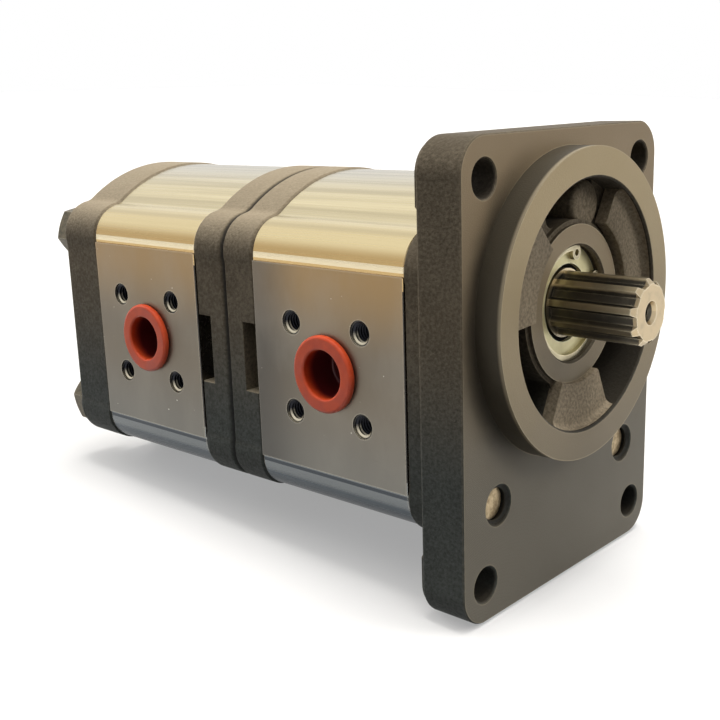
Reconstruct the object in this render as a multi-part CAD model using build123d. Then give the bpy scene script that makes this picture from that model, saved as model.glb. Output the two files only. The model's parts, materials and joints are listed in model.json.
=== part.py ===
from build123d import *
import math
import os

# Tandem external gear pump: two gear stages in line, driven by one splined shaft.
# Millimetres. The origin is the centre of the pilot on the mounting face. +X runs along the
# drive shaft towards its splined end, +Z is up, and -Y is the pressure side.

# Slices of the pump, from the mounting face to the rear
flange_thick = 13.3
neck_length = 7.2
front_housing_length = 54.0
plate_thick = 12.5
rear_housing_length = 49.0
cover_thick = 18.0

# Mounting flange and pilot
flange_width = 90.0
flange_height = 120.0
flange_corner_r = 9.0
mount_edge_y = 9.0
mount_edge_z = 10.0
mount_hole_r = 4.5
shaft_above_middle = 15.5
mount_boss_r = 10.0
mount_boss_height = 0.8
pilot_r = 40.0
pilot_height = 7.2
pilot_rim = 7.7
web_level = 1.5
hub_level = 2.5
hub_r = 20.5
pocket_inner_r = 21.6
pocket_floor = -8.0
shelf_floor = 0.2
pocket_corner_r = 2.5
lower_left_pocket = (182.0, 246.0)
lower_right_pocket = (294.0, 358.0)
top_pocket = (68.0, 116.0)
right_shelf = (2.0, 80.0)
left_shelf = (100.0, 138.0)
drain_hole_r = 1.7
drain_angle = 129.0

# Cast and extruded outlines of the slices
arch_r = 49.6
cast_extra = 0.5
bolt_y = 30.5
bolt_z = 28.8
ear_r = 10.3
flat_half = 41.3
flat_reach = 28.0
port_face_reach = 24.5
cast_flat_inset = 0.35
ear_blend_r = 6.0
cover_edge_r = 2.4
seam_chamfer = 0.6
seam_groove = 1.0
machined_chamfer = 0.3
flange_edge_r = 1.2
neck_fillet_r = 2.0
hole_mouth = 0.5
notch_half = 10.0
notch_depth = 5.0
notch_length = 5.5

# Gears
gear_centres = 34.5
teeth = 12
pressure_angle = 26.0
tip_r = 20.2
root_r = 13.7
root_fillet = 0.6
backlash = 0.06
block_length = 16.0
gear_side_gap = 0.05
tip_gap = 0.08

# Bearing blocks, liners and balance seals
journal_r = 9.0
journal_gap = 0.04
liner_thick = 1.5
press_gap = 0.01
block_gap = 0.03
journal_end_gap = 0.5
balance_r = 13.4
balance_width = 2.2
balance_depth = 2.0
balance_gap = 0.15
balance_leg_gap = 0.5
relief_width = 6.0
relief_height = 5.0
relief_depth = 1.5
relief_offset = 7.2

# Shafts and coupling
shaft_reach = 23.6
spline_teeth = 9
spline_tip_r = 8.4
spline_root_r = 7.0
spline_start = -0.5
shaft_chamfer = 1.2
centre_hole_r = 2.0
centre_hole_depth = 7.0
stub_tip_r = 7.4
stub_root_r = 6.2
stub_length = 11.0
coupling_r = 11.0
coupling_length = 22.0
coupling_gap = 0.4
spline_gap = 0.06
tooth_half_root = 11.5
tooth_half_tip = 5.5

# Shaft seals and their retaining parts
seal_bore_r = 15.0
shaft_hole_gap = 0.5
lip_gap = 0.05
lip_seal_length = 7.0
seal_case = 1.4
lip_thick = 1.1
lip_root = 2.4
lip_end_gap = 1.0
lip_edge = (0.6, 0.75)
washer_thick = 1.2
washer_hole_r = 10.2
circlip_thick = 1.3
circlip_depth = 0.9
circlip_width = 2.4
circlip_below_hub = 1.5
circlip_opening = 50.0
circlip_gap_half = 24.0
circlip_lug_turn = 4.0
circlip_lug_r = 1.9
circlip_eye_r = 0.9

# Face seals between the slices
face_seal_r = 23.3
face_seal_width = 2.2
face_seal_depth = 1.8
face_seal_gap = 0.1

# Body bolts and dowels
bolt_r = 5.0
bolt_hole_gap = 0.15
bolt_thread_gap = 0.02
bolt_head_flats = 16.0
bolt_head_height = 6.9
bolt_head_chamfer = 0.8
bolt_head_slope = 1.6
bolt_tip_recess = 2.3
bolt_hole_end = 1.6
spot_face_r = 9.6
spot_face_depth = 0.4
bolt_turns = (8.0, -14.0, 22.0, 3.0)
dowel_r = 2.5
dowel_length = 10.0
dowel_gap = 0.01
dowel_y = 31.0
dowel_z = 8.0

# Ports
pressure_bore_r = 7.5
pressure_pcd = 35.0
pressure_screw_r = 3.0
pressure_screw_depth = 13.0
suction_bore_r = 13.3
suction_pcd = 55.0
suction_screw_r = 4.0
suction_screw_depth = 14.0
screw_mouth = 0.4
gallery_r = 3.8
gallery_y = 18.3
inlet_r = 5.5
pressure_bore_end = 9.0
suction_bore_end = 9.0

# Shipping plugs
plug_gap = 0.05
pressure_rim_r = 10.5
pressure_rim_height = 2.0
pressure_rim_round = 0.9
pressure_plug_wall = 0.8
pressure_plug_depth = 10.0
suction_cap_r = 15.6
suction_cap_height = 8.0
suction_cap_round = 1.2
suction_cap_step = 0.9
suction_cap_wall = 1.6
suction_cap_depth = 9.0
dimple_r = 2.4
dimple_depth = 0.8

# Places worked out from the sizes above
x_neck = -flange_thick
x_front = x_neck - neck_length
x_plate = x_front - front_housing_length
x_seam = x_plate - plate_thick
x_rear = x_seam - plate_thick
x_cover = x_rear - rear_housing_length
x_end = x_cover - cover_thick
x_front_gear = (x_front + x_plate) / 2
x_rear_gear = (x_rear + x_cover) / 2
mid_z = -gear_centres / 2
flange_z = -shaft_above_middle
mount_spacing_y = flange_width - 2 * mount_edge_y
mount_spacing_z = flange_height - 2 * mount_edge_z
pilot_inner_r = pilot_r - pilot_rim
chamber_r = tip_r + tip_gap
bolt_spots = [(y, mid_z + z) for y in (-bolt_y, bolt_y) for z in (bolt_z, -bolt_z)]
dowel_spots = [(dowel_y, mid_z + dowel_z), (-dowel_y, mid_z - dowel_z)]
gear_spots = [(0, 0), (0, -gear_centres)]
x_circlip = hub_level - circlip_below_hub
x_washer = x_circlip - circlip_thick
x_outer_seal = x_washer - washer_thick
x_inner_seal = x_outer_seal - lip_seal_length
x_seal_floor = x_inner_seal - lip_seal_length

os.makedirs("parts", exist_ok=True)


def slab(sketch, x_from, x_to):
    """Solid with a (Y, Z) sketch as its section, between two stations along X."""
    return extrude(Plane.YZ.offset(x_from) * sketch, amount=x_to - x_from)


def rod(radius, x_from, x_to, y=0.0, z=0.0):
    """Round bar along X."""
    return slab(Pos(y, z) * Circle(radius), x_from, x_to)


def cross_rod(radius, y_from, y_to, x, z):
    """Round bar along Y."""
    return extrude(Plane.XZ.offset(-y_from) * (Pos(x, z) * Circle(radius)), amount=y_from - y_to)


def turned(points):
    """Body turned about the X axis from (x, radius) points."""
    outline = Polyline(*points, close=True)
    return revolve(make_face(outline), Axis.X)


def wedge(reach, start, stop):
    """Sector between two angles up to 180 degrees apart, as a sketch."""
    angles = [math.radians(a) for a in (start, (start + stop) / 2, stop)]
    far = [(2 * reach * math.cos(a), 2 * reach * math.sin(a)) for a in angles]
    return make_face(Polyline((0, 0), *far, close=True))


def arc_pocket(inner_r, outer_r, start, stop):
    """Kidney between two radii and two angles, with rounded corners."""
    sector = (Circle(outer_r) - Circle(inner_r)) & wedge(outer_r, start, stop)
    return fillet(sector.vertices(), pocket_corner_r)


def slice_outline(arch, ear, flat):
    """Outline of the slices: an arch top and bottom, flat sides and four ears round the bolts."""
    shape = Circle(arch) & Rectangle(2 * bolt_y + ear, 2 * arch)
    for y in (-bolt_y, bolt_y):
        for z in (-bolt_z, bolt_z):
            shape += Pos(y, z) * Circle(ear)
    shape += Rectangle(2 * flat, 2 * flat_reach)
    for y in (-flat - ear, flat + ear):
        shape -= Pos(y, 0) * Rectangle(2 * ear, 2 * port_face_reach)
    crooks = [v for v in shape.vertices() if abs(v.X) < bolt_y + ear / 2 and abs(v.Y) > bolt_z]
    return Pos(0, mid_z) * fillet(crooks, ear_blend_r)


def cast_outline():
    return slice_outline(arch_r + cast_extra, ear_r + cast_extra, flat_half - cast_flat_inset)


def extruded_outline():
    return slice_outline(arch_r, ear_r, flat_half)


def both_gears(radius):
    """Two circles of one radius, one round each gear axis."""
    return Circle(radius) + Pos(0, -gear_centres) * Circle(radius)


def face_seal(clearance):
    """Closed ring with straight sides that runs round both gear bores."""
    outer = SlotCenterToCenter(gear_centres, 2 * (face_seal_r + face_seal_width + clearance), 90)
    inner = SlotCenterToCenter(gear_centres, 2 * (face_seal_r - clearance), 90)
    return Pos(0, mid_z) * (outer - inner)


def seal_groove(x_face, inward):
    """Groove for a face seal, cut from a face towards inward (+1 is +X)."""
    return slab(face_seal(face_seal_gap), x_face, x_face + inward * face_seal_depth)


def bolt_holes(x_from, x_to):
    return [rod(bolt_r + bolt_hole_gap, x_from, x_to, y, z) for y, z in bolt_spots]


def dowel_holes(x_face):
    reach = dowel_length / 2
    return [rod(dowel_r + dowel_gap, x_face + reach, x_face - reach, y, z) for y, z in dowel_spots]


def gear_outline(phase):
    """Involute spur gear. At radius r each flank lies half_base - inv(r) from the tooth's middle,
    where inv(r) = sqrt((r / base)^2 - 1) - acos(base / r)."""
    pitch_r = gear_centres / 2
    base_r = pitch_r * math.cos(math.radians(pressure_angle))
    tooth_thick = math.pi * pitch_r / teeth - backlash

    def involute(r):
        return math.sqrt((r / base_r) ** 2 - 1) - math.acos(base_r / r)

    def point(r, angle):
        return (r * math.cos(angle), r * math.sin(angle))

    half_base = tooth_thick / (2 * pitch_r) + involute(pitch_r)
    radii = [base_r + (tip_r - base_r) * (i / 5) ** 1.5 for i in range(6)]
    step = 2 * math.pi / teeth
    edges = []
    for k in range(teeth):
        middle = math.radians(phase) + k * step
        rising = [point(r, middle - half_base + involute(r)) for r in radii]
        falling = [point(r, middle + half_base - involute(r)) for r in reversed(radii)]
        root_start = point(root_r, middle - half_base)
        root_end = point(root_r, middle + half_base)
        next_root = point(root_r, middle + step - half_base)
        edges.append(Line(root_start, rising[0]))
        edges.append(Spline(*rising))
        edges.append(ThreePointArc(rising[-1], point(tip_r, middle), falling[0]))
        edges.append(Spline(*falling))
        edges.append(Line(falling[-1], root_end))
        edges.append(ThreePointArc(root_end, point(root_r, middle + step / 2), next_root))
    face = make_face(edges)
    near_root = (root_r + base_r) / 2
    corners = [v for v in face.vertices() if math.hypot(v.X, v.Y) < near_root]
    return fillet(corners, root_fillet)


def spline_outline(root, tip, clearance):
    """Straight-flanked spline section, grown outwards by a clearance."""
    def point(r, degrees):
        grown = r + clearance
        return (grown * math.cos(math.radians(degrees)), grown * math.sin(math.radians(degrees)))

    step = 360 / spline_teeth
    half_root = tooth_half_root + math.degrees(clearance / root)
    half_tip = tooth_half_tip + math.degrees(clearance / tip)
    edges = []
    for k in range(spline_teeth):
        c = 90 + k * step
        edges.append(Line(point(root, c - half_root), point(tip, c - half_tip)))
        edges.append(ThreePointArc(point(tip, c - half_tip), point(tip, c), point(tip, c + half_tip)))
        edges.append(Line(point(tip, c + half_tip), point(root, c + half_root)))
        low = point(root, c + step / 2)
        edges.append(ThreePointArc(point(root, c + half_root), low, point(root, c + step - half_root)))
    return make_face(edges)


def mouth(radius, y, z):
    """Countersink at the mouth of a hole in the mounting face."""
    cone = turned([(0, 0), (0, radius + hole_mouth), (-hole_mouth, radius), (-hole_mouth, 0)])
    return Pos(0, y, z) * cone


def make_neck():
    """Neck between the flange and the housing, with a fillet round its foot."""
    x_foot = x_neck + neck_fillet_r
    neck = slab(offset(cast_outline(), 2 * neck_fillet_r), x_foot, x_neck)
    neck += slab(cast_outline(), x_neck, x_front)
    foot_back = neck.faces().filter_by(Axis.X).sort_by(Axis.X)[1]
    neck = fillet(foot_back.inner_wires()[0].edges(), neck_fillet_r)
    return chamfer(neck.faces().sort_by(Axis.X)[0].outer_wire().edges(), seam_chamfer)


# Front cover: cast iron flange with the pilot, the seal bore and a neck that meets the housing
def make_front_cover():
    plate_section = Pos(0, flange_z) * RectangleRounded(flange_width, flange_height, flange_corner_r)
    body = slab(plate_section, 0, x_neck)
    body = chamfer(body.faces().sort_by(Axis.X)[-1].outer_wire().edges(), machined_chamfer)
    body = fillet(body.faces().sort_by(Axis.X)[0].outer_wire().edges(), flange_edge_r)
    mount_spots = [
        (y, flange_z + z)
        for y in (-mount_spacing_y / 2, mount_spacing_y / 2)
        for z in (-mount_spacing_z / 2, mount_spacing_z / 2)
    ]
    flat_section = offset(plate_section, -flange_edge_r)
    body += make_neck() & slab(flat_section, 0, x_front)
    for y, z in mount_spots:
        boss = Pos(y, z) * Circle(mount_boss_r) & flat_section
        body += slab(boss, x_neck, x_neck - mount_boss_height)
    body += rod(pilot_r, pilot_height, 0)

    recess = slab(Circle(pilot_inner_r) - Circle(hub_r), pilot_height, web_level)
    recess += rod(hub_r, pilot_height, hub_level)
    lead = hole_mouth
    recess += turned([
        (pilot_height, 0),
        (pilot_height, pilot_inner_r + lead),
        (pilot_height - lead, pilot_inner_r),
        (pilot_height - lead, 0),
    ])
    body -= [recess]
    for sector in (lower_left_pocket, lower_right_pocket, top_pocket):
        body -= slab(arc_pocket(pocket_inner_r, pilot_inner_r, *sector), web_level, pocket_floor)
    for sector in (right_shelf, left_shelf):
        body -= slab(arc_pocket(pocket_inner_r, pilot_inner_r, *sector), web_level, shelf_floor)
    ring_r = (pocket_inner_r + pilot_inner_r) / 2
    drain = math.radians(drain_angle)
    drain_y, drain_z = ring_r * math.cos(drain), ring_r * math.sin(drain)
    body -= rod(drain_hole_r, shelf_floor, pocket_floor, drain_y, drain_z)

    body -= rod(seal_bore_r, hub_level, x_seal_floor)
    body -= turned([
        (hub_level, 0),
        (hub_level, seal_bore_r + hole_mouth),
        (hub_level - hole_mouth, seal_bore_r),
        (hub_level - hole_mouth, 0),
    ])
    body -= rod(journal_r + shaft_hole_gap, x_seal_floor, x_front)
    body -= rod(seal_bore_r + circlip_depth, x_circlip, x_washer)
    for y, z in mount_spots:
        body -= rod(mount_hole_r, pilot_height, x_neck - mount_boss_height, y, z)
        body -= mouth(mount_hole_r, y, z)
    for y, z in bolt_spots:
        open_end = 0 if math.hypot(y, z) > pilot_r else -bolt_hole_end
        body -= rod(bolt_r, open_end, x_front, y, z)
        if open_end == 0:
            body -= mouth(bolt_r, y, z)
    body -= dowel_holes(x_front)
    return body


# Housings: aluminium extrusions with the figure-eight chamber, ports and screw holes
def make_housing(x_from, x_to, with_suction):
    body = slab(extruded_outline(), x_from, x_to)
    for place in (0, -1):
        edges = body.faces().sort_by(Axis.X)[place].outer_wire().edges()
        body = chamfer(edges, machined_chamfer)
    body -= slab(both_gears(chamber_r), x_from, x_to)
    body -= bolt_holes(x_from, x_to)
    for x_face, inward in ((x_from, -1), (x_to, 1)):
        body -= seal_groove(x_face, inward)
        body -= dowel_holes(x_face)
    x_port = (x_from + x_to) / 2
    body -= cross_rod(pressure_bore_r, -flat_half, -pressure_bore_end, x_port, mid_z)
    body -= screw_holes(-1, x_port, pressure_pcd, pressure_screw_r, pressure_screw_depth)
    if with_suction:
        body -= cross_rod(suction_bore_r, suction_bore_end, flat_half, x_port, mid_z)
        body -= screw_holes(1, x_port, suction_pcd, suction_screw_r, suction_screw_depth)
        body -= rod(gallery_r, x_port, x_to, gallery_y, mid_z)
    else:
        body -= cross_rod(inlet_r, suction_bore_end, gallery_y + gallery_r, x_port, mid_z)
        body -= rod(gallery_r, x_from, x_port, gallery_y, mid_z)
    return body


def screw_holes(side, x_port, pcd, radius, depth):
    """Four tapped holes at 45 degrees round a port, each with a countersunk mouth."""
    offset = pcd / 2 * math.sqrt(0.5)
    holes = []
    for dx in (-offset, offset):
        for dz in (-offset, offset):
            x, z = x_port + dx, mid_z + dz
            start, stop = sorted((side * flat_half, side * (flat_half - depth)))
            holes.append(cross_rod(radius, start, stop, x, z))
            start, stop = sorted((side * flat_half, side * (flat_half - screw_mouth)))
            holes.append(cross_rod(radius + screw_mouth, start, stop, x, z))
    return holes


# Middle plates: cast iron, with the coupling bore and the suction gallery
def make_plate(x_from, x_to, x_housing):
    inward = 1 if x_housing < x_from else -1
    body = slab(cast_outline(), x_from, x_to)
    rear_edge, front_edge = (seam_groove, seam_chamfer) if inward < 0 else (seam_chamfer, seam_groove)
    body = chamfer(body.faces().sort_by(Axis.X)[0].outer_wire().edges(), rear_edge)
    body = chamfer(body.faces().sort_by(Axis.X)[-1].outer_wire().edges(), front_edge)
    body -= rod(coupling_r + coupling_gap, x_from, x_to)
    body -= rod(gallery_r, x_from, x_to, gallery_y, mid_z)
    body -= bolt_holes(x_from, x_to)
    body -= dowel_holes(x_housing)
    notch_stop = x_housing + inward * notch_length
    for side in (-1, 1):
        block = Pos(side * flat_half, mid_z) * Rectangle(2 * notch_depth, 2 * notch_half)
        body -= slab(block, x_housing, notch_stop)
    return body


def make_front_stage_plate():
    return make_plate(x_plate, x_seam, x_plate) - seal_groove(x_seam, 1)


def make_rear_cover():
    body = slab(cast_outline(), x_cover, x_end)
    body = fillet(body.faces().sort_by(Axis.X)[0].outer_wire().edges(), cover_edge_r)
    body = chamfer(body.faces().sort_by(Axis.X)[-1].outer_wire().edges(), seam_chamfer)
    body -= bolt_holes(x_cover, x_end)
    body -= [rod(spot_face_r, x_end + spot_face_depth, x_end, y, z) for y, z in bolt_spots]
    body -= dowel_holes(x_cover)
    return body


# Bearing blocks: figure-eight bushings that carry the journals and seal the gear faces
def balance_seal(clearance, leg_end):
    """3-shaped seal: half rings round both journals on the pressure side, joined at the waist."""
    half = balance_width / 2 + clearance
    reach = 2 * chamber_r
    shape = Rectangle(balance_width + 2 * clearance, gear_centres - 2 * balance_r)
    shape = Pos(-balance_width / 2, mid_z) * shape
    for z in (0, -gear_centres):
        ring = Pos(0, z) * (Circle(balance_r + half) - Circle(balance_r - half))
        shape += ring & Pos(clearance - reach / 2, z) * Rectangle(reach, reach)
    leg = leg_end - balance_r
    for z in (balance_r + leg / 2, -gear_centres - balance_r - leg / 2):
        shape += Pos(-balance_width / 2, z) * Rectangle(balance_width + 2 * clearance, leg)
    return shape


def make_bearing_block(x_back, outward):
    """Block whose back, with the balance seal, faces outward (+1 is +X)."""
    x_gear_side = x_back - outward * block_length
    x_from, x_to = max(x_back, x_gear_side), min(x_back, x_gear_side)
    body = slab(both_gears(chamber_r - block_gap), x_from, x_to)
    body -= [rod(journal_r + liner_thick + press_gap, x_from, x_to, y, z) for y, z in gear_spots]
    body -= slab(balance_seal(balance_gap, chamber_r), x_back, x_back - outward * balance_depth)
    for y in (-relief_offset, relief_offset):
        relief = Pos(y, mid_z) * Rectangle(relief_width, relief_height)
        body -= slab(relief, x_gear_side, x_gear_side + outward * relief_depth)
    return body


def make_liners(x_back, outward):
    x_gear_side = x_back - outward * block_length
    x_from, x_to = max(x_back, x_gear_side), min(x_back, x_gear_side)
    section = Circle(journal_r + liner_thick) - Circle(journal_r + journal_gap)
    return Compound([slab(Pos(y, z) * section, x_from, x_to) for y, z in gear_spots])


def make_balance_seal(x_back, outward):
    return slab(balance_seal(0.0, chamber_r - balance_leg_gap), x_back, x_back - outward * balance_depth)


# Gears and shafts
def stub(x_from, x_to):
    return slab(spline_outline(stub_root_r, stub_tip_r, 0.0), x_from, x_to)


def gear(x_middle, housing_length, phase, z):
    half = housing_length / 2 - block_length - gear_side_gap
    return slab(Pos(0, z) * gear_outline(phase), x_middle + half, x_middle - half)


def make_drive_gear_shaft():
    body = gear(x_front_gear, front_housing_length, 90, 0)
    body += rod(journal_r, spline_start, x_plate)
    spline = slab(spline_outline(spline_root_r, spline_tip_r, 0.0), shaft_reach, spline_start)
    envelope = turned([
        (spline_start, 0),
        (shaft_reach, 0),
        (shaft_reach, spline_tip_r - shaft_chamfer),
        (shaft_reach - shaft_chamfer, spline_tip_r),
        (spline_start, spline_tip_r),
    ])
    body += spline & envelope
    body += stub(x_plate, x_plate - stub_length)
    cone = 2 * centre_hole_r
    body -= turned([
        (shaft_reach, 0),
        (shaft_reach, 1.5 * centre_hole_r),
        (shaft_reach - cone / 2, centre_hole_r),
        (shaft_reach - centre_hole_depth, centre_hole_r),
        (shaft_reach - centre_hole_depth - cone / 2, 0),
    ])
    return body


def make_rear_drive_gear():
    body = gear(x_rear_gear, rear_housing_length, 90, 0)
    body += rod(journal_r, x_rear, x_cover + journal_end_gap)
    return body + stub(x_rear + stub_length, x_rear)


def make_driven_gear(x_from, x_to):
    phase = 90 + 180 / teeth
    length = x_from - x_to
    body = gear((x_from + x_to) / 2, length, phase, -gear_centres)
    return body + rod(journal_r, x_from - journal_end_gap, x_to + journal_end_gap, 0, -gear_centres)


def make_shaft_coupling():
    x_from = x_seam + coupling_length / 2
    section = Circle(coupling_r) - spline_outline(stub_root_r, stub_tip_r, spline_gap)
    return slab(section, x_from, x_from - coupling_length)


# Shaft seals, washer and retaining ring in the hub bore
def make_lip_seal(x_from):
    """Lip seal: a case that fits the bore, a front web and a lip that runs on the shaft."""
    lip_r = journal_r + lip_gap
    lip_out = lip_seal_length - lip_end_gap
    edge_start, edge_stop = lip_edge
    return turned([
        (x_from, seal_bore_r),
        (x_from, lip_r + lip_thick),
        (x_from - lip_out * edge_start, lip_r),
        (x_from - lip_out * edge_stop, lip_r),
        (x_from - lip_out, lip_r + lip_thick),
        (x_from - lip_out, lip_r + lip_root),
        (x_from - seal_case, lip_r + lip_root),
        (x_from - seal_case, seal_bore_r - seal_case),
        (x_from - lip_seal_length, seal_bore_r - seal_case),
        (x_from - lip_seal_length, seal_bore_r),
    ])


def make_seal_washer():
    return rod(seal_bore_r, x_washer, x_outer_seal) - rod(washer_hole_r, x_washer, x_outer_seal)


def make_circlip():
    outer = seal_bore_r + circlip_depth
    inner = seal_bore_r - circlip_width + circlip_depth
    start, stop = circlip_opening - circlip_gap_half, circlip_opening + circlip_gap_half
    shape = Circle(outer) - Circle(inner) - wedge(outer, start, stop)
    lug_ring_r = seal_bore_r - circlip_lug_r
    for lug in (start - circlip_lug_turn, stop + circlip_lug_turn):
        angle = math.radians(lug)
        spot = Pos(lug_ring_r * math.cos(angle), lug_ring_r * math.sin(angle))
        shape += spot * Circle(circlip_lug_r)
        shape -= spot * Circle(circlip_eye_r)
    return slab(shape, x_circlip, x_washer)


# Fasteners and face seals
def make_body_bolt(y, z, turn):
    x_seat = x_end + spot_face_depth
    x_top = x_seat - bolt_head_height
    corner_r = bolt_head_flats / math.sqrt(3)
    hexagon = slab(Pos(y, z) * Rot(0, 0, turn) * RegularPolygon(corner_r, 6), x_seat, x_top)
    dome = turned([
        (x_seat, 0),
        (x_seat, corner_r),
        (x_top + bolt_head_chamfer, corner_r),
        (x_top, corner_r - bolt_head_slope * bolt_head_chamfer),
        (x_top, 0),
    ])
    head = hexagon & Pos(0, y, z) * dome
    shank_r = bolt_r - bolt_thread_gap
    tip = bolt_head_chamfer
    shank = turned([
        (x_seat, 0),
        (x_seat, shank_r),
        (-bolt_tip_recess - tip, shank_r),
        (-bolt_tip_recess, shank_r - tip),
        (-bolt_tip_recess, 0),
    ])
    return head + Pos(0, y, z) * shank


def make_body_bolts():
    return Compound([make_body_bolt(y, z, turn) for (y, z), turn in zip(bolt_spots, bolt_turns)])


def make_dowel_pins():
    half = dowel_length / 2 - dowel_gap
    faces = (x_front, x_plate, x_rear, x_cover)
    return Compound([rod(dowel_r, x + half, x - half, y, z) for x in faces for y, z in dowel_spots])


def make_face_seal(x_face, inward):
    return slab(face_seal(0.0), x_face, x_face + inward * face_seal_depth)


# Plastic shipping plugs, pushed into the ports
def make_pressure_plug(x_port):
    stub_r = pressure_bore_r - plug_gap
    hollow_r = stub_r - pressure_plug_wall
    y_face = -flat_half
    y_rim = y_face - pressure_rim_height
    rim = cross_rod(pressure_rim_r, y_rim, y_face, x_port, mid_z)
    rim = fillet(rim.edges().filter_by(GeomType.CIRCLE).sort_by(Axis.Y)[0], pressure_rim_round)
    y_bottom = y_face + pressure_plug_depth
    body = rim + cross_rod(stub_r, y_face, y_bottom, x_port, mid_z)
    return body - cross_rod(hollow_r, y_rim, y_bottom - pressure_plug_wall, x_port, mid_z)


def make_suction_cap(x_port):
    """Cap with two quarters of its rim stepped in for the fingers, and a dimple at the gate."""
    stub_r = suction_bore_r - plug_gap
    y_top = flat_half + suction_cap_height
    head = cross_rod(suction_cap_r, flat_half, y_top, x_port, mid_z)
    head = fillet(head.edges().filter_by(GeomType.CIRCLE).sort_by(Axis.Y)[-1], suction_cap_round)
    step = Circle(suction_cap_r) - Circle(suction_cap_r - suction_cap_step)
    for side in (-1, 1):
        quarter = Pos(-side * suction_cap_r, side * suction_cap_r)
        grip = step & quarter * Rectangle(2 * suction_cap_r, 2 * suction_cap_r)
        grip = Plane.XZ.offset(-flat_half) * (Pos(x_port, mid_z) * grip)
        head -= extrude(grip, amount=-suction_cap_height)
    y_inner = flat_half - suction_cap_depth
    body = head + cross_rod(stub_r, y_inner, flat_half, x_port, mid_z)
    hollow_r = stub_r - suction_cap_wall
    body -= cross_rod(hollow_r, y_inner, y_top - suction_cap_wall - dimple_depth, x_port, mid_z)
    return body - cross_rod(dimple_r, y_top - dimple_depth, y_top, x_port, mid_z)


parts = {
    "front_cover": make_front_cover(),
    "front_housing": make_housing(x_front, x_plate, True),
    "front_stage_plate": make_front_stage_plate(),
    "rear_stage_plate": make_plate(x_seam, x_rear, x_rear),
    "rear_housing": make_housing(x_rear, x_cover, False),
    "rear_cover": make_rear_cover(),
    "drive_gear_shaft": make_drive_gear_shaft(),
    "rear_drive_gear": make_rear_drive_gear(),
    "front_driven_gear": make_driven_gear(x_front, x_plate),
    "rear_driven_gear": make_driven_gear(x_rear, x_cover),
    "shaft_coupling": make_shaft_coupling(),
    "shaft_seal_outer": make_lip_seal(x_outer_seal),
    "shaft_seal_inner": make_lip_seal(x_inner_seal),
    "seal_washer": make_seal_washer(),
    "seal_circlip": make_circlip(),
    "body_bolts": make_body_bolts(),
    "dowel_pins": make_dowel_pins(),
    "plate_seal": make_face_seal(x_seam, 1),
    "pressure_plug_front": make_pressure_plug(x_front_gear),
    "pressure_plug_rear": make_pressure_plug(x_rear_gear),
    "suction_cap": make_suction_cap(x_front_gear),
}
for stage, x_from, x_to in (("front", x_front, x_plate), ("rear", x_rear, x_cover)):
    for end, x_back, outward in (("front", x_from, 1), ("rear", x_to, -1)):
        name = f"{stage}_stage_{end}"
        parts[f"{name}_bearing_block"] = make_bearing_block(x_back, outward)
        parts[f"{name}_liners"] = make_liners(x_back, outward)
        parts[f"{name}_balance_seal"] = make_balance_seal(x_back, outward)
        parts[f"{name}_face_seal"] = make_face_seal(x_back, -outward)

for name, shape in parts.items():
    shape.label = name
    export_step(shape, f"parts/{name}.step")
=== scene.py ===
import bmesh
import bpy
import json
import math
import numpy as np
from mathutils import Matrix, Vector


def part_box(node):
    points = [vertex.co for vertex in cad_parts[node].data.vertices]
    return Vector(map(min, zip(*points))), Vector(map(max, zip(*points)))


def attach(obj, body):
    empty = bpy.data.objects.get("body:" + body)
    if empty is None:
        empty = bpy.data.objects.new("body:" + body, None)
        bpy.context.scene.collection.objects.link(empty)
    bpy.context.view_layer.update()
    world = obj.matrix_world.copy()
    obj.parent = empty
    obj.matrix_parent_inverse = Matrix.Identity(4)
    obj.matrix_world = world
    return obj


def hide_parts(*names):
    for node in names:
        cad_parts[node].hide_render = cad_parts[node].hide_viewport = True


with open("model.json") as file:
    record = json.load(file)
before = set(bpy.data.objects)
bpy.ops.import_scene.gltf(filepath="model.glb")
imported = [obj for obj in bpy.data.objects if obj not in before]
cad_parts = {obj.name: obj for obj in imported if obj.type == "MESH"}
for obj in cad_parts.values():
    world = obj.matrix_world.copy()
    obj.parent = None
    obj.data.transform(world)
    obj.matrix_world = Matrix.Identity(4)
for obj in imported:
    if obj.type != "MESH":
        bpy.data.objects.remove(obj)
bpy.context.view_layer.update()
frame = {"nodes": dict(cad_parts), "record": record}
mm = 0.001


# Viewpoint
# The photograph's left view, taken from the shaft end and the pressure side, a little above the
# pump. The eye is at the real distance, so a longer lens alone brings the pump up to the frame.
eye = Vector((145.7, -237.6, 54.5)) * mm
sight = Vector((-0.658, 0.714, -0.241)).normalized()
sideways = sight.cross(Vector((-0.139, 0.199, 0.970))).normalized()
upright = sideways.cross(sight)
viewfinder = bpy.data.cameras.new("viewfinder")
viewfinder.lens = 54.0
viewfinder.sensor_width = 36.0
viewfinder.clip_start = 0.01
camera = bpy.data.objects.new("camera", viewfinder)
camera.matrix_world = Matrix((
    (sideways.x, upright.x, -sight.x, eye.x),
    (sideways.y, upright.y, -sight.y, eye.y),
    (sideways.z, upright.z, -sight.z, eye.z),
    (0, 0, 0, 1),
))
bpy.context.scene.collection.objects.link(camera)
bpy.context.scene.camera = camera
bpy.context.scene.view_settings.view_transform = "Standard"


# Floor and light
# A pale sheet that the pump rests on. It lies along the line from the flange's lower edge to the
# bottom of the end cover, because a pump set down by itself leans back on those two.
def node(tree, kind, inputs=None, **settings):
    """Shader node of a kind, whose inputs are values or other nodes' outputs."""
    made = tree.nodes.new(kind)
    for key, value in settings.items():
        setattr(made, key, value)
    for key, value in (inputs or {}).items():
        if isinstance(value, bpy.types.NodeSocket):
            tree.links.new(value, made.inputs[key])
        else:
            made.inputs[key].default_value = value
    return made


def maths(tree, operation, *terms):
    """One Math node on values or sockets."""
    return node(tree, "ShaderNodeMath", dict(enumerate(terms)), operation=operation).outputs[0]


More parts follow.
